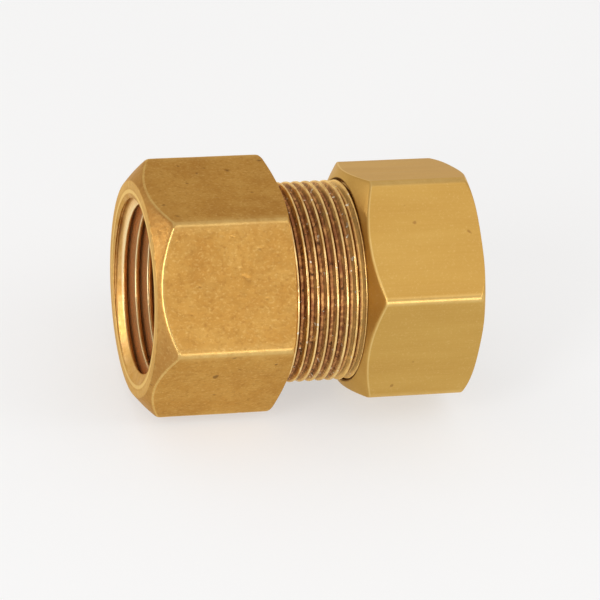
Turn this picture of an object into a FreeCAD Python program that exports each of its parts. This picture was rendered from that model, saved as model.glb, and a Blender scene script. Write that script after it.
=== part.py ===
import FreeCAD, Part
import math
import os

os.makedirs("parts", exist_ok=True)

# Compression adapter: 7/8 in tube to 3/4 in female taper pipe, brass.
# Millimetres. The axis of the fitting is +X, from the pipe mouth (x = 0)
# to the tube end. +Z is up and one flat of the body hexagon faces down.

# ---- body hexagon ----
BODY_AF = 31.75            # 1-1/4 in across flats
BODY_EDGE_R = 1.00         # rounding of the hexagon's six long edges
BODY_HEX_LEN = 19.90       # pipe face to hexagon shoulder
BODY_FACE_R = 15.20        # flat ring at the pipe end
BODY_FACE_CORNER = 2.78    # axial length of the pipe-end chamfer at a corner
BODY_SHOULDER_R = 14.50    # where the shoulder chamfer meets the thread
BODY_SHOULDER_KNEE_R = 17.60
BODY_SHOULDER_KNEE = 0.80  # axial length of the straight part of the chamfer
BODY_SHOULDER_CORNER = 1.60
BODY_LEN = 38.00

# ---- straight compression thread, 18 turns per inch, right hand ----
PITCH = 25.4 / 18.0
MALE_R = 14.20             # crest radius on the body
MALE_ROOT_R = 13.48
CREST_FLAT = PITCH / 8.0
THREAD_PHASE = 0.449       # axial place of a crest at PHASE_ANGLE
PHASE_ANGLE = 32.2         # degrees up from -Y towards +Z
GAP = 0.10                 # thread gap, square to the flank
FEMALE_ROOT_R = 14.35
FEMALE_R = 13.58           # crest radius in the nut
MALE_END_CHAMFER = 0.90

# ---- taper pipe thread, 14 turns per inch, right hand, 1 in 16 ----
PIPE_PITCH = 25.4 / 14.0
PIPE_MAJOR_R = 13.33       # root radius at the face
PIPE_DRILL_R = 11.90       # tapping drill radius
PIPE_DRILL_DEPTH = 15.60
PIPE_THREAD_DEPTH = 14.30
PIPE_TAPER = 1.0 / 32.0    # on the radius
PIPE_MOUTH_R = 13.45       # countersink
PIPE_MOUTH_DEPTH = 0.85
PIPE_PHASE = 1.40          # axial place of a root at the -Y side

# ---- waterway, tube socket and seat ----
WATER_R = 9.50
TUBE_R = 11.1125           # 7/8 in tube
SOCKET_R = 11.18
SOCKET_DEPTH = 12.00
SEAT_MOUTH_R = 12.75
SEAT_ANGLE = 30.0          # to the axis

# ---- sleeve ----
SLEEVE_BORE_R = 11.18
SLEEVE_R = 12.80
SLEEVE_NOSE_R = 11.68
SLEEVE_GAP = 0.12          # radial gap to both seats
SLEEVE_NOSE_X = 36.36
SLEEVE_BARREL_LEN = 3.40

# ---- nut ----
NUT_AF = 30.96             # 1-7/32 in across flats
NUT_EDGE_R = 1.15          # rounding of the six long edges
NUT_X0 = 30.05
NUT_X1 = 46.80
NUT_TURN = 20.3            # corner angle up from -Y, as assembled
NUT_FACE_R = 14.65
NUT_CORNER = 1.95          # chamfer length at a corner, thread end
NUT_END_R = 15.30
NUT_END_CORNER = 1.40
NUT_END_KNEE_R = 17.20       # a point on the rounded end chamfer
NUT_END_KNEE = 0.75
NUT_HOLE_R = 11.25
NUT_THREAD_END = 39.30     # start of the relief groove
NUT_RELIEF_LEN = 0.80
NUT_CAVITY_R = 13.58
NUT_MOUTH_R = 14.50


def v(x, y, z):
    return FreeCAD.Vector(x, y, z)


# Working frame: the axis is z, the angle t runs from -Y towards -Z.
TO_PART = FreeCAD.Placement(FreeCAD.Matrix(0, 0, 1, 0,
                                           -1, 0, 0, 0,
                                           0, -1, 0, 0,
                                           0, 0, 0, 1))


def revolve(points):
    """Solid of revolution about z from (r, z) points."""
    wire = Part.makePolygon([v(r, 0, z) for r, z in points] +
                            [v(points[0][0], 0, points[0][1])])
    return Part.Face(wire).revolve(v(0, 0, 0), v(0, 0, 1), 360)


def revolve_edges(edges):
    return Part.Face(Part.Wire(edges)).revolve(v(0, 0, 0), v(0, 0, 1), 360)


def hexagon(af, z0, z1, turn_deg, edge_r):
    """Hexagonal prism, edges rounded, one of them turn_deg from x."""
    hub = (af / 2.0 - edge_r) / math.cos(math.pi / 6)
    edges = []
    first = last = None
    for i in range(6):
        a = math.radians(turn_deg + 60.0 * i)
        p = [v(hub * math.cos(a) + edge_r * math.cos(a + t),
               hub * math.sin(a) + edge_r * math.sin(a + t), z0)
             for t in (-math.pi / 6, 0.0, math.pi / 6)]
        if last is None:
            first = p[0]
        else:
            edges.append(Part.makeLine(last, p[0]))
        edges.append(Part.Arc(p[0], p[1], p[2]).toShape())
        last = p[2]
    edges.append(Part.makeLine(last, first))
    return Part.Face(Part.Wire(edges)).extrude(v(0, 0, z1 - z0))


def cylinder(r, z0, z1):
    return Part.makeCylinder(r, z1 - z0, v(0, 0, z0), v(0, 0, 1))


def helical_cutter(profile, pitch, z0, turns, t_deg, slope=0.0):
    """Sweep an (r, dz) profile along a right-hand helix about z.

    z0 is the axial place of dz = 0 at the angle t_deg. slope is the
    growth of the radius for each unit of z.
    """
    r0 = sum(p[0] for p in profile) / len(profile)
    height = pitch * turns
    helix = Part.makeHelix(pitch, height, r0,
                           math.degrees(math.atan(slope)) if slope else 0)
    face = Part.makePolygon([v(r, 0, z) for r, z in profile] +
                            [v(profile[0][0], 0, profile[0][1])])
    pipe = Part.BRepOffsetAPI.MakePipeShell(Part.Wire(helix.Edges))
    pipe.setFrenetMode(True)
    pipe.add(face, False, False)
    pipe.build()
    pipe.makeSolid()
    s = pipe.shape()
    if s.Volume < 0:
        s.reverse()
    s.rotate(v(0, 0, 0), v(0, 0, 1), t_deg)
    s.translate(v(0, 0, z0))
    print("cutter", s.isValid(), s.ShapeType, round(s.Volume, 2))
    return s


def finish(shape, name, lean=0.0):
    shape = shape.copy()
    if shape.ShapeType == "Compound" and len(shape.Solids) == 1:
        shape = shape.Solids[0]
    shape.Placement = TO_PART.multiply(shape.Placement)
    print(name, shape.isValid(), len(shape.Solids), round(shape.Volume, 2),
          [round(q, 3) for q in (shape.BoundBox.XMin, shape.BoundBox.XMax,
                                 shape.BoundBox.YMin, shape.BoundBox.YMax,
                                 shape.BoundBox.ZMin, shape.BoundBox.ZMax)])
    shape.exportStep("parts/" + name + ".step")


TAN30 = math.tan(math.radians(30.0))
BODY_R = BODY_AF / math.sqrt(3.0)
NUT_R = NUT_AF / math.sqrt(3.0)

# ================= adapter body =================
hexa = hexagon(BODY_AF, 0, BODY_HEX_LEN, 0, BODY_EDGE_R)
slope = (BODY_R - BODY_FACE_R) / BODY_FACE_CORNER
edge_r = BODY_R + 0.5
e1 = [Part.makeLine(v(0, 0, 0), v(BODY_FACE_R, 0, 0)),
      Part.makeLine(v(BODY_FACE_R, 0, 0),
                    v(edge_r, 0, (edge_r - BODY_FACE_R) / slope)),
      Part.makeLine(v(edge_r, 0, (edge_r - BODY_FACE_R) / slope),
                    v(edge_r, 0, BODY_HEX_LEN - BODY_SHOULDER_CORNER - 0.8))]
# rounded outer part of the shoulder chamfer
knee = v(BODY_SHOULDER_KNEE_R, 0, BODY_HEX_LEN - BODY_SHOULDER_KNEE)
crown = v(BODY_R, 0, BODY_HEX_LEN - BODY_SHOULDER_CORNER)
mid = v(BODY_R - 0.27, 0, BODY_HEX_LEN - BODY_SHOULDER_CORNER + 0.49)
e1 += [Part.makeLine(e1[-1].Vertexes[-1].Point, crown),
       Part.Arc(crown, mid, knee).toShape(),
       Part.makeLine(knee, v(BODY_SHOULDER_R, 0, BODY_HEX_LEN)),
       Part.makeLine(v(BODY_SHOULDER_R, 0, BODY_HEX_LEN),
                     v(0, 0, BODY_HEX_LEN)),
       Part.makeLine(v(0, 0, BODY_HEX_LEN), v(0, 0, 0))]
hexa = hexa.common(revolve_edges(e1))

# threaded spigot, cut full length and then joined to the hexagon
z_in = BODY_HEX_LEN - 3.0
spigot = revolve([(0, z_in), (MALE_R, z_in),
                  (MALE_R, BODY_LEN - MALE_END_CHAMFER),
                  (MALE_R - MALE_END_CHAMFER, BODY_LEN), (0, BODY_LEN)])
half = (PITCH - CREST_FLAT) / 2.0
over = 0.30
depth = MALE_R - MALE_ROOT_R
groove = [(MALE_ROOT_R, -(half - depth * TAN30)),
          (MALE_ROOT_R, half - depth * TAN30),
          (MALE_R + over, half + over * TAN30 - 0.03),
          (MALE_R + over, -(half + over * TAN30 - 0.03))]
groove[2] = (MALE_R + over, half + min(over * TAN30, CREST_FLAT / 2 - 0.02))
groove[3] = (groove[2][0], -groove[2][1])
# a root lies half a pitch after a crest; angles turn as t = -psi
first = THREAD_PHASE + PITCH / 2.0
k = math.ceil((z_in - 1.0 - first) / PITCH)
turns = math.ceil((BODY_LEN + 1.5 - (first + k * PITCH)) / PITCH)
cut = helical_cutter(groove, PITCH, first + k * PITCH, turns, -PHASE_ANGLE)
spigot = spigot.cut(cut)
print("spigot", spigot.isValid(), round(spigot.Volume, 1))
body = hexa.fuse(spigot)

# waterway, tube socket and sleeve seat
seat_len = (SEAT_MOUTH_R - SOCKET_R) / math.tan(math.radians(SEAT_ANGLE))
step = (PIPE_DRILL_R - WATER_R) * TAN30
core = revolve([(0, PIPE_DRILL_DEPTH - 2), (PIPE_DRILL_R, PIPE_DRILL_DEPTH - 2),
                (PIPE_DRILL_R, PIPE_DRILL_DEPTH),
                (WATER_R, PIPE_DRILL_DEPTH + step),
                (WATER_R, BODY_LEN - SOCKET_DEPTH),
                (SOCKET_R, BODY_LEN - SOCKET_DEPTH),
                (SOCKET_R, BODY_LEN - seat_len),
                (SEAT_MOUTH_R, BODY_LEN), (SEAT_MOUTH_R, BODY_LEN + 1),
                (0, BODY_LEN + 1)])
body = body.cut(core)

# taper pipe thread: drilled hole, countersink and a tapered helical groove
hole = cylinder(PIPE_DRILL_R, -1, PIPE_DRILL_DEPTH - 1)
sink = revolve([(0, -1), (PIPE_MOUTH_R + 1, -1), (PIPE_MOUTH_R, 0),
                (PIPE_DRILL_R, PIPE_MOUTH_DEPTH),
                (0, PIPE_MOUTH_DEPTH)])
body = body.cut(hole).cut(sink)

root_flat = 0.12
cut_depth = 1.41           # reaches inside the drilled wall past the countersink
w_in = root_flat / 2 + cut_depth * TAN30


def pipe_cutter(start_deg):
    """Taper thread groove that starts at start_deg from -Y at the deep end.

    The helix is built upside down, growing towards the face, and turned
    over, which keeps it right-handed.
    """
    phase = PIPE_PHASE + PIPE_PITCH * start_deg / 360.0
    start = phase + PIPE_PITCH * math.floor(
        (PIPE_THREAD_DEPTH - phase) / PIPE_PITCH)
    r_start = PIPE_MAJOR_R - start * PIPE_TAPER
    prof = [(r_start, root_flat / 2), (r_start, -root_flat / 2),
            (r_start - cut_depth, -w_in), (r_start - cut_depth, w_in)]
    turns = math.ceil((start + 2.2) / PIPE_PITCH)
    cutter = helical_cutter(prof, PIPE_PITCH, 0, turns, -start_deg,
                            PIPE_TAPER)
    cutter.rotate(v(0, 0, 0), v(1, 0, 0), 180)
    cutter.translate(v(0, 0, start))
    return cutter


# the thread is cut in the lining of the hole, in eight sectors round the
# axis, and the lining is then joined to the rest of the body
LINING_R = PIPE_MAJOR_R + 0.45
LINING_X = PIPE_DRILL_DEPTH - 0.5
lining = cylinder(LINING_R, 0, LINING_X).cut(
    cylinder(PIPE_DRILL_R, -1, LINING_X + 1))
# a start near the hole's own seam can spoil the cut, so others are tried
for start_deg in (-83.0, -133.0, -40.0, -170.0):
    trial = lining.cut(pipe_cutter(start_deg))
    groove_volume = lining.Volume - trial.Volume
    print("pipe groove", start_deg, round(groove_volume, 1), trial.isValid())
    if groove_volume > 400.0 and trial.isValid():
        break
lining = trial
lining = lining.cut(sink)
wedges = []
R = 30.0
for i in range(8):
    a0 = math.radians(45.0 * i + 11.0)
    a1 = math.radians(45.0 * (i + 1) + 11.0)
    tri = Part.makePolygon([v(0, 0, -1),
                            v(R * math.cos(a0), R * math.sin(a0), -1),
                            v(R * math.cos(a1), R * math.sin(a1), -1),
                            v(0, 0, -1)])
    wedges.append(Part.Face(tri).extrude(v(0, 0, 18.0)))
rest = body.cut(cylinder(LINING_R, -1, LINING_X))
body = rest.multiFuse([lining.common(w) for w in wedges])
print("body", body.isValid(), len(body.Solids), len(body.Faces),
      round(body.Volume, 1))
finish(body, "adapter_body")

# ================= compression sleeve =================
tan_s = math.tan(math.radians(SEAT_ANGLE))
# front cone runs parallel to the body seat at SLEEVE_GAP
x_cone_end = BODY_LEN + (SLEEVE_R + SLEEVE_GAP - SEAT_MOUTH_R) / tan_s
nose_r = SEAT_MOUTH_R - (BODY_LEN - SLEEVE_NOSE_X) * tan_s - SLEEVE_GAP
x_barrel_end = x_cone_end + SLEEVE_BARREL_LEN
x_tail = x_barrel_end + (SLEEVE_R - nose_r) / tan_s
sleeve = revolve([(SLEEVE_BORE_R, SLEEVE_NOSE_X), (nose_r, SLEEVE_NOSE_X),
                  (SLEEVE_R, x_cone_end), (SLEEVE_R, x_barrel_end),
                  (nose_r, x_tail), (SLEEVE_BORE_R, x_tail)])
print("sleeve x", round(x_cone_end, 3), round(x_barrel_end, 3),
      round(x_tail, 3), "nose", round(nose_r, 3))
finish(sleeve, "compression_sleeve")

# ================= compression nut =================
nut = hexagon(NUT_AF, NUT_X0, NUT_X1, -NUT_TURN, NUT_EDGE_R)
s0 = (NUT_R - NUT_FACE_R) / NUT_CORNER
er = NUT_R + 0.5
crown = v(NUT_R, 0, NUT_X1 - NUT_END_CORNER)
round_pt = v(NUT_END_KNEE_R, 0, NUT_X1 - NUT_END_KNEE)
rim = v(NUT_END_R, 0, NUT_X1)
cone_top = v(er, 0, NUT_X0 + (er - NUT_FACE_R) / s0)
outside = v(er, 0, NUT_X1 - NUT_END_CORNER - 0.8)
e2 = [Part.makeLine(v(0, 0, NUT_X0), v(NUT_FACE_R, 0, NUT_X0)),
      Part.makeLine(v(NUT_FACE_R, 0, NUT_X0), cone_top),
      Part.makeLine(cone_top, outside),
      Part.makeLine(outside, crown),
      Part.Arc(crown, round_pt, rim).toShape(),
      Part.makeLine(rim, v(0, 0, NUT_X1)),
      Part.makeLine(v(0, 0, NUT_X1), v(0, 0, NUT_X0))]
nut = nut.common(revolve_edges(e2))
# seat cone parallel to the sleeve tail at SLEEVE_GAP
x_seat0 = x_barrel_end - (NUT_CAVITY_R - SLEEVE_R - SLEEVE_GAP) / tan_s
x_seat1 = x_seat0 + (NUT_CAVITY_R - NUT_HOLE_R) / tan_s
print("nut seat", round(x_seat0, 3), round(x_seat1, 3))
relief_r = FEMALE_ROOT_R + 0.05
lip_r = NUT_CAVITY_R + 0.17
cavity = revolve([(0, NUT_X0 - 1), (NUT_CAVITY_R, NUT_X0 - 1),
                  (NUT_CAVITY_R, NUT_THREAD_END),
                  (relief_r, NUT_THREAD_END),
                  (relief_r, NUT_THREAD_END + NUT_RELIEF_LEN),
                  (lip_r, x_seat0 - (lip_r - NUT_CAVITY_R) / tan_s),
                  (NUT_HOLE_R, x_seat1),
                  (NUT_HOLE_R, NUT_X1 - 0.4), (NUT_HOLE_R + 0.4, NUT_X1),
                  (NUT_HOLE_R + 0.4, NUT_X1 + 1), (0, NUT_X1 + 1)])
nut = nut.cut(cavity)
sink = revolve([(0, NUT_X0 - 0.2), (NUT_MOUTH_R + 0.2, NUT_X0 - 0.2),
                (NUT_MOUTH_R, NUT_X0), (NUT_CAVITY_R, NUT_X0 + 0.92),
                (0, NUT_X0 + 0.92)])
nut = nut.cut(sink)
# thread groove: the body thread grown by GAP
grow = GAP / math.cos(math.radians(30.0))


def groove_half(r):
    return CREST_FLAT / 2 + (MALE_R - r) * TAN30 + grow


# the threaded hole is made as a plug: a cylinder at the root radius with a
# helical groove where the nut's own thread ridge stands
def ridge_half(r):
    return min(PITCH / 2 - groove_half(r), 0.68)


plug_z0 = NUT_X0 - 0.5
plug_z1 = NUT_THREAD_END + 0.3
plug = cylinder(FEMALE_ROOT_R, plug_z0, plug_z1)
r_o = FEMALE_ROOT_R + 0.18
nprof = [(FEMALE_R, -ridge_half(FEMALE_R)), (FEMALE_R, ridge_half(FEMALE_R)),
         (r_o, ridge_half(r_o)), (r_o, -ridge_half(r_o))]
first = THREAD_PHASE + PITCH / 2
k = math.ceil((plug_z0 - 1.6 - first) / PITCH)
z0 = first + k * PITCH
nturns = math.ceil((plug_z1 + 1.6 - z0) / PITCH)
plug = plug.cut(helical_cutter(nprof, PITCH, z0, nturns, -PHASE_ANGLE))
NLIN_R = FEMALE_ROOT_R + 0.45
ring = cylinder(NLIN_R, NUT_X0, NUT_THREAD_END)
ring = ring.cut(plug)
print("nut ring", round(ring.Volume, 1), ring.isValid(), len(ring.Solids))
chamfer = revolve([(0, NUT_X0), (NUT_FACE_R, NUT_X0),
                   (er, NUT_X0 + (er - NUT_FACE_R) / s0),
                   (er, NUT_X1), (0, NUT_X1)])
ring = ring.cut(sink).common(chamfer)
nut = nut.cut(cylinder(NLIN_R, NUT_X0 - 1, NUT_THREAD_END)).fuse(ring)
print("nut", nut.isValid(), len(nut.Solids))
finish(nut, "compression_nut")
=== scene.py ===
import math

import bpy
import numpy as np
from mathutils import Matrix, Vector


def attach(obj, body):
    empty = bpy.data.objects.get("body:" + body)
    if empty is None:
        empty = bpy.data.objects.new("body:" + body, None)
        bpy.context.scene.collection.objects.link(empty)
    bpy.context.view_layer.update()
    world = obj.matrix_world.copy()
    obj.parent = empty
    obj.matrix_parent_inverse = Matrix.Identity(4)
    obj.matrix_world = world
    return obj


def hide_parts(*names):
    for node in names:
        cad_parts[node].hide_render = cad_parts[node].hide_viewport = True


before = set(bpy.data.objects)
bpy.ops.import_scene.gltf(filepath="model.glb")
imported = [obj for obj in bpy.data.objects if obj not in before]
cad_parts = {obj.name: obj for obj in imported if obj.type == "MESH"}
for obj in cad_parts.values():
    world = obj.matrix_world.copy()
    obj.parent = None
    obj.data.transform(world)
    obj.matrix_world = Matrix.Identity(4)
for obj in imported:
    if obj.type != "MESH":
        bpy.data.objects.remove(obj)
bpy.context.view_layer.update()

# --------------------------------------------------------------------------
# Dimensions, mm. X is the axis; psi runs from -Y up towards +Z.
# --------------------------------------------------------------------------
BODY_AF = 31.75
HEX_LEN = 19.90
FACE_R = 15.20
FACE_CORNER = 2.78
SHOULDER_R = 14.50
BODY_LEN = 38.00
PITCH = 25.4 / 18.0
MALE_R, MALE_ROOT = 14.20, 13.48
CREST = PITCH / 8.0
PHASE, PHASE_PSI = 0.449, 32.2
GAP = 0.10
FEM_ROOT, FEM_R = 14.35, 13.58
PIPE_P = 25.4 / 14.0
PIPE_MAJOR, PIPE_DRILL, PIPE_PHASE = 13.33, 11.90, 1.40
PIPE_MOUTH, PIPE_SINK = 13.45, 0.85
NUT_AF = 30.96
NUT_X0, NUT_X1 = 30.05, 46.80
NUT_TURN = 20.3
NUT_FACE_R, NUT_CORNER = 14.65, 1.95
NUT_END_R, NUT_END_CORNER = 15.30, 1.40
TAN30 = math.tan(math.radians(30))
BODY_R = BODY_AF / math.sqrt(3)
NUT_R = NUT_AF / math.sqrt(3)


# --------------------------------------------------------------------------
# Smooth noise on a closed ring, for dents and wear
# --------------------------------------------------------------------------
def value_noise(u, v, period_u, seed):
    """Smooth noise of two arrays; u wraps after period_u cells."""
    rng = np.random.default_rng(seed)
    table = rng.random((512, 512))

    def at(i, j):
        return table[(i % period_u) % 512, j % 512]

    iu, iv = np.floor(u).astype(int), np.floor(v).astype(int)
    fu, fv = u - iu, v - iv
    fu, fv = fu * fu * (3 - 2 * fu), fv * fv * (3 - 2 * fv)
    a = at(iu, iv) * (1 - fu) + at(iu + 1, iv) * fu
    b = at(iu, iv + 1) * (1 - fu) + at(iu + 1, iv + 1) * fu
    return (a * (1 - fv) + b * fv) * 2 - 1


def ring_noise(psi, x, cells, size, seed):
    """Noise with `cells` cells round the axis and cells of `size` mm along it."""
    return value_noise((psi / (2 * math.pi)) % 1.0 * cells, x / size + 37.0,
                       cells, seed)


def smin(a, b, q):
    """The smaller of two radii, with the edge between them eased."""
    lo, hi = np.minimum(a, b), np.maximum(a, b)
    return lo * (1 + (lo / hi) ** q) ** (-1.0 / q)


def hex_radius(psi, half, corner_deg, round_r):
    """Outline of a hexagon whose six edges are rounded to round_r."""
    k = math.pi / 3
    t = (psi - math.radians(corner_deg) + k / 2) % k - k / 2
    away = np.abs(t)
    hub = (half - round_r) / math.cos(k / 2)
    meet = k / 2 - math.atan((half - round_r) * math.tan(k / 2) / half)
    flat = half / np.cos(k / 2 - away)
    sine = np.minimum(hub * np.sin(away), round_r)
    curve = hub * np.cos(away) + np.sqrt(round_r ** 2 - sine ** 2)
    return np.where(away < meet, curve, flat)


def arc_points(a, b, c, n=14):
    """Points on the circle through three points, from a to c."""
    ax, ay, bx, by, cx, cy = *a, *b, *c
    d = 2 * (ax * (by - cy) + bx * (cy - ay) + cx * (ay - by))
    ux = ((ax * ax + ay * ay) * (by - cy) + (bx * bx + by * by) * (cy - ay)
          + (cx * cx + cy * cy) * (ay - by)) / d
    uy = ((ax * ax + ay * ay) * (cx - bx) + (bx * bx + by * by) * (ax - cx)
          + (cx * cx + cy * cy) * (bx - ax)) / d
    rad = math.hypot(ax - ux, ay - uy)
    t0 = math.atan2(ay - uy, ax - ux)
    t1 = math.atan2(cy - uy, cx - ux)
    return [(ux + rad * math.cos(t0 + (t1 - t0) * i / n),
             uy + rad * math.sin(t0 + (t1 - t0) * i / n)) for i in range(n + 1)]


def wrap(d, p):
    return d - p * np.round(d / p)


# --------------------------------------------------------------------------
# A closed ring of quads from rows of (x, r) arrays over psi
# --------------------------------------------------------------------------
def ring_mesh(name, xs, rs, psi, dirt=None):
    """xs, rs: (rows, columns) in mm. Rows close on themselves."""
    rows, cols = xs.shape
    y = -rs * np.cos(psi)[None, :]
    z = rs * np.sin(psi)[None, :]
    co = np.stack([xs, y, z], -1).reshape(-1, 3) * 0.001
    i = np.arange(rows)[:, None]
    j = np.arange(cols)[None, :]
    i2, j2 = (i + 1) % rows, (j + 1) % cols
    quads = np.stack(np.broadcast_arrays(
        i * cols + j, i2 * cols + j, i2 * cols + j2, i * cols + j2), -1)
    quads = quads.reshape(-1, 4)
    me = bpy.data.meshes.new(name)
    me.vertices.add(len(co))
    me.vertices.foreach_set("co", co.ravel().astype(np.float32))
    me.loops.add(quads.size)
    me.loops.foreach_set("vertex_index", quads.ravel().astype(np.int32))
    me.polygons.add(len(quads))
    me.polygons.foreach_set("loop_start",
                            np.arange(0, quads.size, 4, dtype=np.int32))
    me.polygons.foreach_set("use_smooth", np.ones(len(quads), dtype=bool))
    me.update(calc_edges=True)
    me.validate()
    # outward normals
    v0 = co[quads[:, 0]]
    n = np.cross(co[quads[:, 1]] - v0, co[quads[:, 2]] - v0)
    c = (co[quads[:, 0]] + co[quads[:, 2]]) / 2
    if float((n * c).sum()) < 0:
        me.flip_normals()
    if dirt is not None:
        layer = me.attributes.new("dirt", "FLOAT", "POINT")
        layer.data.foreach_set("value", dirt.ravel().astype(np.float32))
    ob = bpy.data.objects.new(name, me)
    bpy.context.scene.collection.objects.link(ob)
    return ob


def rows_from(parts, cols):
    xs = np.concatenate([np.broadcast_to(a, (a.shape[0], cols)) for a, b in parts])
    rs = np.concatenate([np.broadcast_to(b, (b.shape[0], cols)) for a, b in parts])
    return xs, rs


def col(values):
    return np.asarray(values, float)[:, None]


def spread(*pieces):
    """Axial stations: (start, stop, step) runs joined, ends shared."""
    out = []
    for a, b, s in pieces:
        n = max(1, int(round(abs(b - a) / s)))
        out += list(np.linspace(a, b, n + 1)[:-1])
    out.append(pieces[-1][1])
    return np.array(out)


# small handling dents: place along the axis, turn in degrees, size mm,
# depth mm, and how much dark soil sits in it
BODY_DENTS = [(13.32, 106.9, 0.26, 0.10, 0.9), (6.87, 96.1, 0.17, 0.06, 0.8),
              (6.65, 112.2, 0.16, 0.06, 0.8), (10.19, 109.5, 0.15, 0.05, 0.7),
              (3.60, 65.9, 0.24, 0.07, 0.6), (15.41, 84.6, 0.17, 0.05, 0.7),
              (14.55, 48.2, 0.20, 0.06, 0.6), (12.54, 34.3, 0.42, 0.10, 0.25),
              (12.10, 35.4, 0.22, 0.07, 0.45), (11.75, 39.5, 0.16, 0.04, 0.3),
              (5.89, 31.5, 0.16, 0.06, 0.8), (7.46, 55.9, 0.30, 0.05, 0.2),
              (9.27, 54.5, 0.26, 0.04, 0.2), (15.3, 24.0, 0.16, 0.05, 0.5),
              (4.6, 18.0, 0.15, 0.04, 0.5), (9.69, -39.6, 0.18, 0.05, 0.6),
              (12.0, -13.8, 0.17, 0.05, 0.6), (5.2, 160.0, 0.22, 0.07, 0.6),
              (12.4, 205.0, 0.25, 0.07, 0.5), (8.3, 262.0, 0.22, 0.07, 0.6),
              (14.6, 300.0, 0.22, 0.06, 0.6), (9.0, 228.0, 0.30, 0.05, 0.3)]


def dents(x, psi, table, soil=False):
    """Depth of the small soft dents in a table, or the soil in them."""
    total = 0.0
    for at, deg, size, deep, dark in table:
        turn = np.degrees(psi) - deg
        turn = turn - 360 * np.round(turn / 360)
        dx, dt = (x - at) / size, np.radians(turn) * 16.5 / size
        shape = np.exp(-(dx * dx * 0.8 + dt * dt + 0.5 * dx * dt))
        total = total + (dark * shape if soil else deep * shape)
    return total


def soft_min(a, b, s):
    """The smaller of two radii, eased over a length s in mm."""
    lo = np.minimum(a, b)
    return lo - s * np.log(np.exp(-(a - lo) / s) + np.exp(-(b - lo) / s))


# ---- adapter body ---------------------------------------------------------
def male_thread(x, psi_b):
    """Radius of the external thread, x (rows,1), psi_b (1,cols)."""
    d = wrap(x - (PHASE - (np.degrees(psi_b) - PHASE_PSI) / 360 * PITCH), PITCH)
    # light waviness of the crest and tool marks in the root
    w = ring_noise(psi_b + 0 * x, x + 0 * psi_b, 90, 0.35, 11)
    w2 = ring_noise(psi_b + 0 * x, x + 0 * psi_b, 260, 0.22, 12)
    nick = np.clip(ring_noise(psi_b + 0 * x, x + 0 * psi_b, 70, 1.4, 13) - 0.70,
                   0, 1)
    crest = MALE_R - 0.008 - 0.006 * (1 + w) - 0.16 * nick
    flank = MALE_R - (np.abs(d) - CREST * 0.60) / TAN30 - 0.10 * nick
    r = soft_min(crest, flank, 0.030)
    root = MALE_ROOT + 0.020 * w + 0.018 * w2
    # rounded root and crest
    r = np.maximum(r, root)
    return r


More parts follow.
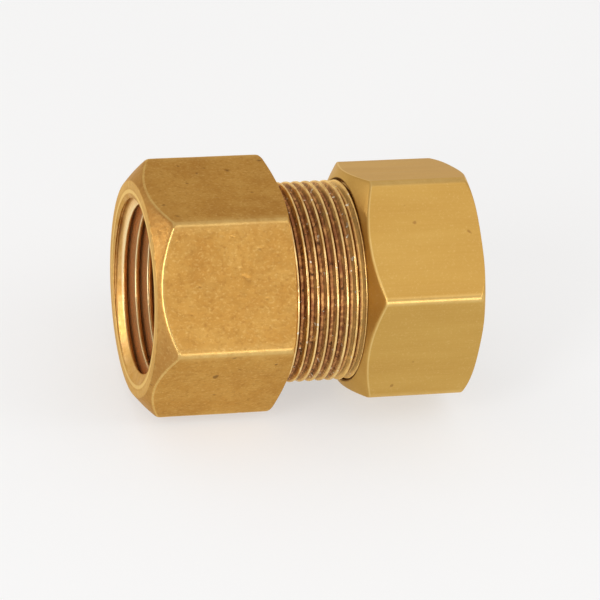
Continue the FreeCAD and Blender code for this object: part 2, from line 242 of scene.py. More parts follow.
def body_mesh():
    cols = 1080
    psi = np.arange(cols) / cols * 2 * math.pi
    P = psi[None, :]
    x = spread((0.0, 1.0, 0.06), (1.0, 3.4, 0.08), (3.4, 16.2, 0.11),
               (16.2, 18.4, 0.08), (18.4, 19.1, 0.05), (19.1, 19.89, 0.025))
    X = col(x)
    half = BODY_AF / 2
    hexa = hex_radius(P, half + 0.008, 0.0, 1.10)
    # forging: faces very slightly uneven
    uneven = 0.020 * ring_noise(P + 0 * X, X + 0 * P, 18, 6.0, 1) \
        + 0.010 * ring_noise(P + 0 * X, X + 0 * P, 60, 1.6, 2)
    slope = (BODY_R - FACE_R) / FACE_CORNER
    cone0 = FACE_R + slope * X
    crown = (HEX_LEN - 1.60, BODY_R)
    knee = (HEX_LEN - 0.80, 17.60)
    bend = arc_points(crown, (HEX_LEN - 1.11, BODY_R - 0.27), knee)
    bend = [(crown[0] - 1.4, BODY_R + 0.28)] + bend + [(HEX_LEN, SHOULDER_R)]
    cone1 = np.interp(X, [q[0] for q in bend], [q[1] for q in bend],
                      left=BODY_R + 1.0)
    r = smin(hexa - 0.014 + uneven + 0 * X, cone0 + 0 * P, 105)
    r = smin(r, cone1 + 0 * P, 260)
    r = np.minimum(r, hexa)
    # handling nicks on the edges
    n = np.clip(ring_noise(P + 0 * X, X + 0 * P, 150, 0.7, 3) - 0.88, 0, 1)
    r = r - 0.05 * n - dents(X, P, BODY_DENTS)
    outer = (X + 0 * P, r)

    xt = spread((19.90, 19.96, 0.06), (19.96, 37.10, PITCH / 30),
                (37.10, 37.97, 0.06))
    XT = col(xt)
    rt = male_thread(XT, P)
    rt = np.minimum(rt, MALE_R - np.maximum(0, XT - 37.10) * 0.98 - 0.01)
    thread = (XT + 0 * P, rt)

    # end ring and seat
    tip = col([38.0, 38.0, 38.0, 37.97])
    tipr = col([13.24, 13.10, 12.82, 12.75])
    seat_len = (12.75 - 11.18) / TAN30
    ins_x = np.concatenate([np.linspace(37.9, 38.0 - seat_len, 14),
                            np.linspace(35.2, 26.06, 40),
                            [26.0, 26.0, 26.0, 26.04],
                            np.linspace(25.6, 17.05, 30)])
    ins_r = np.concatenate([np.linspace(12.70, 11.18, 14),
                            np.full(40, 11.18),
                            [11.14, 10.2, 9.56, 9.50],
                            np.full(30, 9.50)])
    drill_x = [16.99, 16.6, 16.1, 15.66, 15.60]
    drill_r = [9.50, 10.17, 11.04, 11.82, 11.90]
    ins = (col(np.concatenate([ins_x, drill_x])),
           col(np.concatenate([ins_r, drill_r])))

    xp = spread((15.5, 14.6, 0.15), (14.6, 0.0, PIPE_P / 26))
    XP = col(xp)
    root_x = PIPE_PHASE - np.degrees(P) / 360 * PIPE_P
    d = np.abs(wrap(XP - root_x, PIPE_P))
    w = ring_noise(P + 0 * XP, XP + 0 * P, 80, 0.4, 21)
    full = PIPE_MAJOR - XP / 32 - 0.02 + 0.012 * w
    depth = np.clip((14.5 - XP) / 1.6, 0, 1)
    v = full - np.maximum(0, d - 0.07) / TAN30 - (1 - depth) * 1.4
    rp = np.maximum(v, PIPE_DRILL + 0.010 * w + 0.01)
    sink = PIPE_MOUTH - XP * (PIPE_MOUTH - PIPE_DRILL) / PIPE_SINK
    rp = np.maximum(rp, sink)
    pipe = (XP + 0 * P, rp)

    # face ring, edges eased
    face = (col([0.0, 0.0, 0.0, 0.0, 0.0]),
            col([13.52, 13.9, 14.3, 14.7, 15.10]))
    xs, rs = rows_from([outer, thread, (tip, tipr), ins, pipe, face], cols)
    xs, rs = xs.copy(), rs.copy()
    # ease the outer rim of the face and roughen it a little
    k = len(x)
    f0 = len(xs) - 5
    rim = 0.04 + 0.015 * ring_noise(P, 0 * P, 120, 1.0, 31)
    xs[0, :] = (rim + 0.02)[0]
    rs[0, :] = rs[0, :] + slope * 0.05
    xs[f0, :] = 0.03
    xs[f0 + 1:f0 + 4, :] = 0.0 + 0.006 * (1 + ring_noise(
        np.repeat(P, 3, 0), col([0., 1., 2.]) + 0 * P, 100, 1.0, 32))
    xs[f0 + 4, :] = 0.012
    dirt = np.zeros_like(xs)
    dirt[:k] = np.clip(dents(X, P, BODY_DENTS, True), 0, 1)
    return ring_mesh("body_skin", xs, rs, psi, dirt)


# ---- compression nut --------------------------------------------------------
def nut_mesh():
    cols = 960
    psi = np.arange(cols) / cols * 2 * math.pi
    P = psi[None, :]
    x = spread((NUT_X0, NUT_X0 + 2.4, 0.07), (NUT_X0 + 2.4, 43.8, 0.30),
               (43.8, 46.0, 0.07), (46.0, NUT_X1, 0.035))
    X = col(x)
    half = NUT_AF / 2
    hexa = hex_radius(P, half + 0.004, NUT_TURN, 1.25)
    s0 = (NUT_R - NUT_FACE_R) / NUT_CORNER
    cone0 = NUT_FACE_R + s0 * (X - NUT_X0)
    crown = (NUT_X1 - NUT_END_CORNER, NUT_R)
    bend = arc_points(crown, (NUT_X1 - 0.75, 17.20), (NUT_X1, NUT_END_R))
    bend = [(crown[0] - 1.4, NUT_R + 0.30)] + bend
    cone1 = np.interp(X, [q[0] for q in bend], [q[1] for q in bend],
                      left=NUT_R + 1.0)
    uneven = 0.008 * ring_noise(P + 0 * X, X + 0 * P, 24, 5.0, 41)
    r = smin(hexa - 0.012 + uneven + 0 * X, cone0 + 0 * P, 170)
    r = smin(r, cone1 + 0 * P, 260)
    r = np.minimum(r, hexa)
    n = np.clip(ring_noise(P + 0 * X, X + 0 * P, 150, 0.8, 43) - 0.88, 0, 1)
    r = r - 0.04 * n
    outer = (X + 0 * P, r)

    end = (col([NUT_X1, NUT_X1, NUT_X1, NUT_X1, NUT_X1 - 0.03]),
           col([15.20, 14.2, 13.0, 11.75, 11.66]))
    tan_s = TAN30
    barrel_end = 41.694
    seat0 = barrel_end - (FEM_R - 12.80 - 0.12) / tan_s
    seat1 = seat0 + (FEM_R - 11.25) / tan_s
    lip = FEM_R + 0.17
    ix = [NUT_X1 - 0.4, 46.2, 45.6, 45.0, seat1 + 0.03, seat1 - 0.05]
    ir = [11.26, 11.25, 11.25, 11.25, 11.25, 11.30]
    n = 16
    cx = np.linspace(seat1 - 0.2, seat0 - 0.17 / tan_s, n)
    cr = 11.25 + (seat1 - cx) * tan_s
    rx = [40.10, 40.05, 39.34, 39.30]
    rr = [FEM_ROOT + 0.05, FEM_ROOT + 0.05, FEM_ROOT + 0.05, FEM_ROOT + 0.03]
    ins = (col(np.concatenate([ix, cx, rx])), col(np.concatenate([ir, cr, rr])))
    xt = spread((39.28, NUT_X0, PITCH / 20))
    XT = col(xt)
    d = np.abs(wrap(XT - (PHASE - (np.degrees(P) - PHASE_PSI) / 360 * PITCH),
                    PITCH))
    grow = GAP / math.cos(math.radians(30))
    rt = MALE_R + (CREST / 2 + grow - d) / TAN30
    rt = np.clip(rt, FEM_R, FEM_ROOT)
    sink = 14.50 - (XT - NUT_X0) * (14.50 - FEM_R) / 0.92
    rt = np.maximum(rt, sink)
    thread = (XT + 0 * P, rt)
    xs, rs = rows_from([outer, end, ins, thread], cols)
    xs, rs = xs.copy(), rs.copy()
    xs[0, :] = NUT_X0 + 0.015
    return ring_mesh("nut_skin", xs, rs, psi)


# ---- sleeve -----------------------------------------------------------------
def sleeve_mesh():
    cols = 360
    psi = np.arange(cols) / cols * 2 * math.pi
    pts = [(36.40, 11.62), (36.46, 11.70)]
    pts += [(36.46 + t * (38.22 - 36.46), 11.735 + t * (12.745 - 11.735))
            for t in np.linspace(0.05, 1, 12)]
    pts += [(38.30, 12.785), (38.42, 12.80)]
    pts += [(x, 12.80) for x in np.linspace(38.8, 41.3, 10)]
    pts += [(41.56, 12.80), (41.68, 12.785)]
    pts += [(41.76 + t * (43.53 - 41.76), 12.745 - t * (12.745 - 11.735))
            for t in np.linspace(0, 1, 12)]
    pts += [(43.60, 11.68), (43.625, 11.60), (43.625, 11.25), (43.60, 11.19)]
    pts += [(x, 11.18) for x in np.linspace(43.4, 36.6, 30)]
    pts += [(36.39, 11.19), (36.365, 11.25), (36.365, 11.55)]
    a = np.array(pts)
    xs = np.repeat(a[:, :1], cols, 1)
    rs = np.repeat(a[:, 1:], cols, 1)
    return ring_mesh("sleeve_skin", xs, rs, psi)


body = body_mesh()
nut = nut_mesh()
sleeve = sleeve_mesh()
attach(body, "adapter")
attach(nut, "nut")
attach(sleeve, "sleeve")
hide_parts("adapter_body")
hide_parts("compression_nut")
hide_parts("compression_sleeve")


# --------------------------------------------------------------------------
# Materials
# --------------------------------------------------------------------------
class Mat:
    def __init__(self, name):
        self.m = bpy.data.materials.new(name)
        self.m.use_nodes = True
        self.t = self.m.node_tree
        self.b = self.t.nodes["Principled BSDF"]
        self.tc = self.t.nodes.new("ShaderNodeTexCoord")

    def node(self, kind, **sockets):
        n = self.t.nodes.new(kind)
        for k, val in sockets.items():
            k = k.replace("_", " ")
            if hasattr(val, "links") or isinstance(val, bpy.types.NodeSocket):
                self.t.links.new(val, n.inputs[k])
            else:
                n.inputs[k].default_value = val
        return n

    def link(self, a, b):
        self.t.links.new(a, b)

    def mapped(self, scale, rot=(0, 0, 0)):
        n = self.t.nodes.new("ShaderNodeMapping")
        self.link(self.tc.outputs["Object"], n.inputs["Vector"])
        n.inputs["Scale"].default_value = scale
        n.inputs["Rotation"].default_value = rot
        return n.outputs["Vector"]

    def noise(self, vec, scale, detail=2.0, rough=0.5):
        n = self.t.nodes.new("ShaderNodeTexNoise")
        self.link(vec, n.inputs["Vector"])
        n.inputs["Scale"].default_value = scale
        n.inputs["Detail"].default_value = detail
        n.inputs["Roughness"].default_value = rough
        return n.outputs["Fac"]

    def ramp(self, fac, stops, interp="LINEAR"):
        n = self.t.nodes.new("ShaderNodeValToRGB")
        n.color_ramp.interpolation = interp
        e = n.color_ramp.elements
        while len(e) < len(stops):
            e.new(0.5)
        for el, (p, c) in zip(e, stops):
            el.position = p
            el.color = (c, c, c, 1) if isinstance(c, (int, float)) else (*c, 1)
        self.link(fac, n.inputs["Fac"])
        return n.outputs["Color"]

    def mix(self, fac, a, b, mode="MIX"):
        n = self.t.nodes.new("ShaderNodeMix")
        n.data_type = "RGBA"
        n.blend_type = mode
        if isinstance(fac, (int, float)):
            n.inputs[0].default_value = fac
        else:
            self.link(fac, n.inputs[0])
        for val, k in ((a, 6), (b, 7)):
            if isinstance(val, tuple):
                n.inputs[k].default_value = (*val, 1)
            else:
                self.link(val, n.inputs[k])
        return n.outputs[2]

    def math(self, op, a, b=None, clamp=False):
        n = self.t.nodes.new("ShaderNodeMath")
        n.operation = op
        n.use_clamp = clamp
        for i, val in enumerate((a, b)):
            if val is None:
                continue
            if isinstance(val, (int, float)):
                n.inputs[i].default_value = val
            else:
                self.link(val, n.inputs[i])
        return n.outputs[0]

    def bump(self, height, strength, distance, normal=None):
        n = self.t.nodes.new("ShaderNodeBump")
        n.inputs["Strength"].default_value = strength
        n.inputs["Distance"].default_value = distance
        self.link(height, n.inputs["Height"])
        if normal is not None:
            self.link(normal, n.inputs["Normal"])
        return n.outputs["Normal"]

    def polar(self):
        """Distance from the fitting's axis in mm, place along it, and turn."""
        sep = self.t.nodes.new("ShaderNodeSeparateXYZ")
        self.link(self.tc.outputs["Object"], sep.inputs[0])
        yy = self.math("POWER", sep.outputs["Y"], 2.0)
        zz = self.math("POWER", sep.outputs["Z"], 2.0)
        r = self.math("SQRT", self.math("ADD", yy, zz))
        psi = self.math("ARCTAN2", sep.outputs["Z"],
                        self.math("MULTIPLY", sep.outputs["Y"], -1.0))
        return (self.math("MULTIPLY", r, 1000.0),
                self.math("MULTIPLY", sep.outputs["X"], 1000.0), psi)

    def degrees(self, psi):
        return self.math("MULTIPLY", psi, 180.0 / math.pi)

    def edge(self, deg, corner_deg):
        """Turn in degrees from the nearest edge of a hexagon."""
        t = self.math("MULTIPLY", deg, 1.0 / 60.0)
        t = self.math("ADD", t, 6.5 - corner_deg / 60.0)
        t = self.math("SUBTRACT", self.math("FRACT", t), 0.5)
        return self.math("MULTIPLY", self.math("ABSOLUTE", t), 60.0)

    def helix(self, x, psi, start, start_deg, pitch, shift=None):
        """0 to 1 along each turn, 0 where the groove's start line runs."""
        back = self.math("MULTIPLY", psi, 1.0 / (2 * math.pi))
        t = self.math("ADD", self.math("MULTIPLY", x, 1.0 / pitch), back)
        t = self.math("ADD", t, -start / pitch - start_deg / 360.0 + 64.0)
        if shift is not None:
            t = self.math("ADD", t, shift)
        return self.math("FRACT", t)

    def step(self, val, lo, hi):
        """0 before lo, 1 after hi, eased; falls instead if hi is below lo."""
        n = self.t.nodes.new("ShaderNodeMapRange")
        n.interpolation_type = "SMOOTHSTEP"
        self.link(val, n.inputs["Value"])
        n.inputs["From Min"].default_value = lo
        n.inputs["From Max"].default_value = hi
        return n.outputs["Result"]

    def between(self, val, lo, hi, soft):
        n = self.t.nodes.new("ShaderNodeMapRange")
        n.interpolation_type = "SMOOTHSTEP"
        self.link(val, n.inputs["Value"])
        n.inputs["From Min"].default_value = lo
        n.inputs["From Max"].default_value = lo + soft
        a = n.outputs["Result"]
        n = self.t.nodes.new("ShaderNodeMapRange")
        n.interpolation_type = "SMOOTHSTEP"
        self.link(val, n.inputs["Value"])
        n.inputs["From Min"].default_value = hi
        n.inputs["From Max"].default_value = hi - soft
        return self.math("MULTIPLY", a, n.outputs["Result"])


def tumbled_brass():
    m = Mat("tumbled brass")
    obj = m.tc.outputs["Object"]
    r, x, psi = m.polar()
    # slow colour drift
    drift = m.noise(obj, 150.0, 3.0, 0.55)
    tone = m.ramp(drift, [(0.30, (0.485, 0.246, 0.056)),
                          (0.52, (0.535, 0.284, 0.066)),
                          (0.72, (0.595, 0.332, 0.083))])
    blotch = m.noise(obj, 420.0, 3.0, 0.6)
    tone = m.mix(m.ramp(blotch, [(0.44, 0.0), (0.62, 0.28)]), tone,
                 (0.66, 0.41, 0.120))
    # fine light specks of the tumbled surface, and small dull ones
    fine = m.noise(m.mapped((2300.0, 3200.0, 3200.0)), 1.0, 2.0, 0.6)
    speck = m.ramp(fine, [(0.53, 0.0), (0.76, 1.0)])
    tone = m.mix(m.math("MULTIPLY", speck, 0.45), tone, (0.84, 0.58, 0.21))
    dull = m.noise(obj, 1700.0, 2.0, 0.5)
    dull = m.ramp(dull, [(0.30, 1.0), (0.45, 0.0)])
    tone = m.mix(m.math("MULTIPLY", dull, 0.42), tone, (0.40, 0.19, 0.043))
    # a few dark pits
    pits = m.noise(obj, 620.0, 0.0, 0.4)
    pit = m.ramp(pits, [(0.13, 1.0), (0.17, 0.0)])
    tone = m.mix(m.math("MULTIPLY", pit, 0.7), tone, (0.16, 0.07, 0.02))
    soil = m.node("ShaderNodeAttribute")
    soil.attribute_name = "dirt"
    tone = m.mix(m.math("MULTIPLY", soil.outputs["Fac"], 0.80), tone,
                 (0.17, 0.075, 0.02))
    # wear: clean metal along the hexagon's edges and the chamfer's rim
    deg = m.degrees(psi)
    near = m.edge(deg, 0.0)
    corner = m.step(near, 2.4, 0.6)
    band = m.step(near, 5.0, 2.0)
    shine = (0.95, 0.72, 0.29)
    cone = m.math("SUBTRACT", m.math("DIVIDE", m.math("SUBTRACT", r, FACE_R),
                                     (BODY_R - FACE_R) / FACE_CORNER), x)
    rim = m.math("MULTIPLY", m.between(cone, -0.34, -0.035, 0.10),
                 m.step(r, 15.60, 15.90))
    face = m.math("MULTIPLY", m.step(x, 0.10, 0.02), m.step(r, 14.0, 14.4))
    wear = m.math("MAXIMUM", m.math("MULTIPLY", corner, 0.40),
                  m.math("MULTIPLY", band, 0.12))
    wear = m.math("MULTIPLY", wear, m.step(cone, -0.02, -0.10))
    wear = m.math("MULTIPLY", wear, m.step(r, 15.55, 15.80))
    wear = m.math("MAXIMUM", wear, m.math("MULTIPLY", rim, 0.40))
    wear = m.math("MULTIPLY", wear, m.ramp(m.noise(obj, 800.0, 3.0, 0.6),
                                           [(0.25, 0.45), (0.6, 1.0)]))
    # painted highlight: a pale line round the inner rim of the face, at the mouth
    mouth_rim_highlight = m.math("MULTIPLY", m.step(x, 0.16, 0.06), m.between(r, 13.35, 14.15, 0.25))
    wear = m.math("MAXIMUM", wear, m.math("MULTIPLY", face, 0.18))
    wear = m.math("MAXIMUM", wear, m.math("MULTIPLY", mouth_rim_highlight, 0.60))
    on_hex = m.step(x, 19.95, 19.85)
    wear = m.math("MULTIPLY", wear, on_hex)
    # the chamfer itself is a little redder and darker
    on_cone = m.math("MULTIPLY", m.step(cone, -0.10, -0.03), m.step(x, 3.2, 2.9))
    on_cone = m.math("MULTIPLY", on_cone, m.step(r, 15.15, 15.30))
    tone = m.mix(m.math("MULTIPLY", on_cone, 0.30), tone, (0.34, 0.15, 0.055))
    tone = m.mix(wear, tone, shine)
    # straight thread: bright crests; a near-black band of painted shade on the flank
    # facing +X; dark stained roots and other flank
    wander = m.math("SUBTRACT", m.noise(obj, 900.0, 2.0, 0.6), 0.5)
    turn = m.helix(x, psi, PHASE, PHASE_PSI, PITCH,
                   m.math("MULTIPLY", wander, 0.10))
    stain_n = m.noise(obj, 1500.0, 3.0, 0.6)
    stain = m.ramp(stain_n, [(0.36, (0.130, 0.040, 0.015)),
                             (0.50, (0.420, 0.165, 0.052)),
                             (0.64, (0.880, 0.510, 0.180))])
    across = m.ramp(turn, [(0.0, (0.95, 0.70, 0.32)),
                           (0.095, (0.95, 0.68, 0.30)),
                           (0.125, (0.045, 0.018, 0.008)),
                           (0.37, (0.040, 0.016, 0.008)),
                           (0.45, (0.31, 0.130, 0.045)),
                           (0.60, (0.54, 0.260, 0.095)),
                           (0.66, (0.62, 0.310, 0.110)),
                           (0.80, (0.72, 0.370, 0.120)),
                           (0.85, (0.90, 0.60, 0.24)),
                           (0.875, (0.95, 0.70, 0.32))])
    away = m.ramp(turn, [(0.37, 0.0), (0.44, 1.0), (0.76, 1.0), (0.85, 0.0)])
    across = m.mix(m.math("MULTIPLY", away, 0.60), across, stain)
    red = m.ramp(m.noise(obj, 500.0, 2.0, 0.5), [(0.48, 0.0), (0.62, 1.0)])
    across = m.mix(m.math("MULTIPLY", m.math("MULTIPLY", red, away), 0.55),
                   across, (0.30, 0.105, 0.045))
    grit = m.ramp(m.noise(obj, 1700.0, 2.0, 0.55), [(0.33, 1.0), (0.40, 0.0)])
    across = m.mix(m.math("MULTIPLY", m.math("MULTIPLY", grit, away), 0.85),
                   across, (0.045, 0.018, 0.010))
    # the painted shade on the groove's near flank is lifted a little
    flank_shade_lift = m.between(turn, 0.11, 0.48, 0.05)
    across = m.mix(m.math("MULTIPLY", flank_shade_lift, 0.15), across, (0.36, 0.150, 0.050))
    # random gold on the far flanks, plus painted light: the grooves of the thread
    # from about 28 mm on are gilded paler
    gilt_and_painted_light = m.ramp(m.noise(obj, 260.0, 2.0, 0.5), [(0.48, 0.0), (0.64, 0.8)])
    painted_light_near_nut = m.step(x, 27.6, 28.8)
    gilt_and_painted_light = m.math("MAXIMUM", m.math("MULTIPLY", gilt_and_painted_light, m.step(turn, 0.60, 0.84)),
                  m.math("MULTIPLY", painted_light_near_nut, m.step(turn, 0.36, 0.66)))
    across = m.mix(m.math("MULTIPLY", gilt_and_painted_light, 0.75), across, (0.94, 0.62, 0.20))
    # the crests are worn unevenly
    dulled = m.ramp(m.noise(obj, 420.0, 3.0, 0.6), [(0.42, 0.0), (0.64, 1.0)])
    lit = m.math("SUBTRACT", 1.0, m.step(turn, 0.09, 0.12))
    lit = m.math("MAXIMUM", lit, m.step(turn, 0.84, 0.88))
    across = m.mix(m.math("MULTIPLY", m.math("MULTIPLY", dulled, lit), 0.62),
                   across, (0.56, 0.32, 0.12))
    burr = m.ramp(m.noise(obj, 1150.0, 1.0, 0.5), [(0.700, 0.0), (0.725, 1.0)])
    across = m.mix(burr, across, (0.95, 0.86, 0.66))
    on_thread = m.step(x, 19.86, 19.93)
    outside = m.step(r, 13.2, 13.38)
    tone = m.mix(m.math("MULTIPLY", on_thread, outside), tone, across)
    # pipe thread inside the mouth: its flanks painted pale cream as painted light
    # against the bore's shade, with narrow dark lines at the roots
    turn2 = m.helix(x, psi, PIPE_PHASE, 0.0, PIPE_P)
    pipe_thread_light_paint = m.ramp(turn2, [(0.0, (0.055, 0.020, 0.012)),
                           (0.04, (0.12, 0.050, 0.024)),
                           (0.09, (0.90, 0.560, 0.240)),
                           (0.34, (0.97, 0.680, 0.330)),
                           (0.42, (0.97, 0.780, 0.440)),
                           (0.56, (0.97, 0.780, 0.440)),
                           (0.63, (0.92, 0.560, 0.260)),
                           (0.88, (0.80, 0.400, 0.190)),
                           (0.94, (0.10, 0.040, 0.020)),
                           (1.0, (0.055, 0.020, 0.012))])
    bore = m.math("MULTIPLY", m.step(x, 0.95, 1.20), m.step(x, 16.0, 15.4))
    inside = m.step(r, 13.50, 13.36)
    tone = m.mix(m.math("MULTIPLY", m.math("MULTIPLY", bore, inside), 0.85),
                 tone, pipe_thread_light_paint)
    # the countersink ahead of it, scuffed by fitting
    mouth = m.math("MULTIPLY", m.step(x, 0.02, 0.10), m.step(x, 1.20, 0.95))
    mouth = m.math("MULTIPLY", mouth, m.step(r, 14.4, 14.0))
    tone = m.mix(m.math("MULTIPLY", mouth, m.ramp(m.noise(obj, 500.0, 2.0, 0.5),
                        [(0.35, 0.0), (0.65, 0.25)])), tone, (0.86, 0.62, 0.32))
    # the plain bore beyond it
    deep = m.math("MULTIPLY", m.step(x, 15.4, 16.0), m.step(r, 12.9, 12.6))
    tone = m.mix(m.math("MULTIPLY", deep, 0.5), tone, (0.30, 0.14, 0.045))
    m.link(tone, m.b.inputs["Base Color"])
    m.b.inputs["Metallic"].default_value = 1.0
    m.b.inputs["Specular Tint"].default_value = (1.0, 0.84, 0.58, 1.0)
    rough = m.ramp(m.noise(obj, 900.0, 3.0, 0.6), [(0.3, 0.36), (0.7, 0.48)])
    gloss = m.math("MAXIMUM", rim, m.math("MULTIPLY", corner, 0.35))
    gloss = m.math("MULTIPLY", gloss, on_hex)
    rough = m.mix(m.math("MULTIPLY", gloss, 0.85), rough, (0.20, 0.20, 0.20))
    rough = m.mix(m.math("MULTIPLY", m.math("MULTIPLY", bore, inside), 0.85),
                  rough, (0.20, 0.20, 0.20))
    keen = m.math("MULTIPLY", m.math("MULTIPLY", on_thread, outside), lit)
    rough = m.mix(m.math("MULTIPLY", keen, 0.85), rough, (0.20, 0.20, 0.20))
    m.link(rough, m.b.inputs["Roughness"])
    # stained grooves scatter light more than clean metal does
    grime = m.math("MAXIMUM",
                   m.math("MULTIPLY", m.math("MULTIPLY", bore, inside), 0.22),
                   m.math("MULTIPLY", m.math("MULTIPLY", on_thread, outside),
                          m.math("MULTIPLY", away, 0.28)))
    m.link(m.math("SUBTRACT", 1.0, grime), m.b.inputs["Metallic"])
    n1 = m.bump(fine, 0.35, 0.00005)
    n2 = m.bump(m.noise(obj, 1100.0, 3.0, 0.6), 0.30, 0.00012, n1)
    n3 = m.bump(m.ramp(pits, [(0.12, 0.0), (0.19, 1.0)]), 0.7, 0.00010, n2)
    m.link(n3, m.b.inputs["Normal"])
    return m.m


def brushed_brass():
    m = Mat("brushed brass")
    obj = m.tc.outputs["Object"]
    r, x, psi = m.polar()
    lines = m.noise(m.mapped((90.0, 7000.0, 7000.0)), 1.0, 2.0, 0.55)
    broad = m.noise(m.mapped((60.0, 260.0, 260.0)), 1.0, 2.0, 0.5)
    tone = m.ramp(broad, [(0.30, (0.545, 0.320, 0.076)),
                          (0.55, (0.578, 0.350, 0.086)),
                          (0.75, (0.612, 0.382, 0.100))])
    deg = m.degrees(psi)
    cone = m.math("SUBTRACT",
                  m.math("DIVIDE", m.math("SUBTRACT", r, NUT_FACE_R),
                         (NUT_R - NUT_FACE_R) / NUT_CORNER),
                  m.math("SUBTRACT", x, NUT_X0))
    flat = m.math("MULTIPLY", m.step(r, 15.30, 15.42), m.step(x, 46.4, 45.8))
    flat = m.math("MULTIPLY", flat, m.step(cone, 0.0, -0.10))
    tone = m.mix(0.10, tone, m.ramp(lines, [(0.3, (0.46, 0.25, 0.06)),
                                            (0.7, (0.80, 0.54, 0.20))]))
    fine = m.noise(obj, 3400.0, 2.0, 0.6)
    tone = m.mix(m.math("MULTIPLY", m.ramp(fine, [(0.56, 0.0), (0.74, 1.0)]), 0.22),
                 tone, (0.84, 0.62, 0.26))
    spots = m.noise(obj, 700.0, 0.0, 0.4)
    spot = m.ramp(spots, [(0.11, 1.0), (0.15, 0.0)])
    tone = m.mix(m.math("MULTIPLY", spot, 0.5), tone, (0.25, 0.10, 0.03))
    # wear along the edges and the chamfer rim
    near = m.edge(deg, NUT_TURN)
    corner = m.step(near, 2.8, 0.6)
    band = m.step(near, 4.6, 2.0)
    rim = m.math("MULTIPLY", m.between(cone, -0.32, -0.03, 0.10),
                 m.step(r, 15.2, 15.45))
    wear = m.math("MULTIPLY", m.math("MULTIPLY", corner, 0.34), flat)
    wear = m.math("MAXIMUM", wear, m.math("MULTIPLY", rim, 0.45))
    wear = m.math("MULTIPLY", wear, m.ramp(m.noise(obj, 700.0, 3.0, 0.6),
                                           [(0.25, 0.5), (0.6, 1.0)]))
    tone = m.mix(wear, tone, (0.94, 0.71, 0.30))
    # the turned chamfer at the thread end is browner
    on_cone = m.math("MULTIPLY", m.step(cone, -0.07, -0.02), m.step(x, 33.0, 32.0))
    tone = m.mix(m.math("MULTIPLY", on_cone, 0.12), tone, (0.34, 0.15, 0.055))
    inside = m.math("MULTIPLY", m.step(r, 14.60, 14.40), m.step(x, 46.79, 46.70))
    tone = m.mix(m.math("MULTIPLY", inside, 0.65), tone, (0.26, 0.11, 0.035))
    m.link(tone, m.b.inputs["Base Color"])
    m.b.inputs["Metallic"].default_value = 1.0
    m.b.inputs["Specular Tint"].default_value = (1.0, 0.84, 0.58, 1.0)
    rough = m.ramp(lines, [(0.3, 0.32), (0.7, 0.40)])
    gloss = m.math("MAXIMUM", m.math("MULTIPLY", corner,
                   m.math("MULTIPLY", flat, 0.45)), rim)
    rough = m.mix(m.math("MULTIPLY", gloss, 0.70), rough, (0.26, 0.26, 0.26))
    m.link(rough, m.b.inputs["Roughness"])
    n1 = m.bump(lines, 0.10, 0.00003)
    n2 = m.bump(fine, 0.18, 0.00003, n1)
    m.link(n2, m.b.inputs["Normal"])
    return m.m


def turned_brass():
    m = Mat("turned brass")
    obj = m.tc.outputs["Object"]
    rings = m.noise(m.mapped((9000.0, 40.0, 40.0)), 1.0, 1.0, 0.5)
    tone = m.ramp(rings, [(0.3, (0.62, 0.37, 0.10)), (0.7, (0.74, 0.48, 0.16))])
    m.link(tone, m.b.inputs["Base Color"])
    m.b.inputs["Metallic"].default_value = 1.0
    m.b.inputs["Specular Tint"].default_value = (1.0, 0.84, 0.58, 1.0)
    m.b.inputs["Roughness"].default_value = 0.28
    m.link(m.bump(rings, 0.25, 0.00004), m.b.inputs["Normal"])
    return m.m


body.data.materials.append(tumbled_brass())
nut.data.materials.append(brushed_brass())
sleeve.data.materials.append(turned_brass())

# --------------------------------------------------------------------------
# Stage: pale floor, soft lights
# --------------------------------------------------------------------------
S = bpy.context.scene
S.view_settings.view_transform = "Standard"
S.view_settings.look = "None"

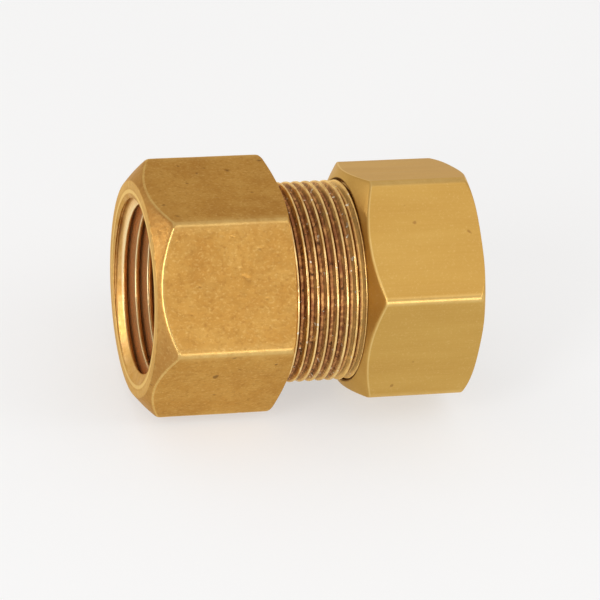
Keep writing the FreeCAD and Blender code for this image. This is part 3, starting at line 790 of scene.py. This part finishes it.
FLOOR_Z = -0.01765
me = bpy.data.meshes.new("floor")
F = 6.0
me.from_pydata([(-F, -F, FLOOR_Z), (F, -F, FLOOR_Z), (F, F, FLOOR_Z),
                (-F, F, FLOOR_Z)], [], [(0, 1, 2, 3)])
floor = bpy.data.objects.new("floor", me)
S.collection.objects.link(floor)
fm = bpy.data.materials.new("pale floor")
fm.use_nodes = True
fb = fm.node_tree.nodes["Principled BSDF"]
fb.inputs["Base Color"].default_value = (0.43, 0.450, 0.470, 1)
fb.inputs["Roughness"].default_value = 0.9
fb.inputs["Emission Color"].default_value = (1, 1, 1, 1)
fb.inputs["Emission Strength"].default_value = 0.50
fb.inputs["Specular IOR Level"].default_value = 0.1
me.materials.append(fm)

w = bpy.data.worlds.new("studio")
S.world = w
w.use_nodes = True
bg = w.node_tree.nodes["Background"]
bg.inputs["Color"].default_value = (1.0, 0.925, 0.86, 1)
bg.inputs["Strength"].default_value = 0.72


def area(name, at, size_x, size_y, power, colour=(1, 1, 1), aim=(0.023, 0, 0)):
    light = bpy.data.lights.new(name, "AREA")
    light.shape = "RECTANGLE"
    light.size, light.size_y = size_x, size_y
    light.energy = power
    light.color = colour
    ob = bpy.data.objects.new(name, light)
    S.collection.objects.link(ob)
    ob.location = at
    ob.rotation_mode = "QUATERNION"
    ob.rotation_quaternion = (Vector(aim) - Vector(at)).to_track_quat("-Z", "Y")
    return ob


over = area("over", (0.28, -0.64, 1.00), 1.3, 0.56, 1.5)
left = area("left", (-0.78, -0.72, 0.42), 0.34, 0.80, 4.8)
low = area("low", (0.25, -1.05, 0.11), 1.1, 0.24, 2.2)
side = area("side", (-0.98, 0.38, 0.085), 0.30, 0.17, 2.6)
right = area("right", (0.95, -0.45, 0.40), 0.35, 0.6, 1.6)

# --------------------------------------------------------------------------
# Camera
# --------------------------------------------------------------------------
cam_data = bpy.data.cameras.new("camera")
cam = bpy.data.objects.new("camera", cam_data)
S.collection.objects.link(cam)
S.camera = cam
cam_data.sensor_width = 36.0
cam_data.lens = 240.0
cam_data.clip_start, cam_data.clip_end = 0.01, 50.0
axes = Matrix(((0.9659865753932863, 0.04801138749718334, -0.25409612911366036),
               (-0.24119152169152225, 0.5216383729979888, -0.8183642573329671),
               (0.0932554879032789, 0.8518147184021925, 0.5154756051350198)))
cam.matrix_world = Matrix.Translation(
    (-0.1198014776014061, -0.464791400452018, 0.2896242997275463)) \
    @ axes.to_4x4()
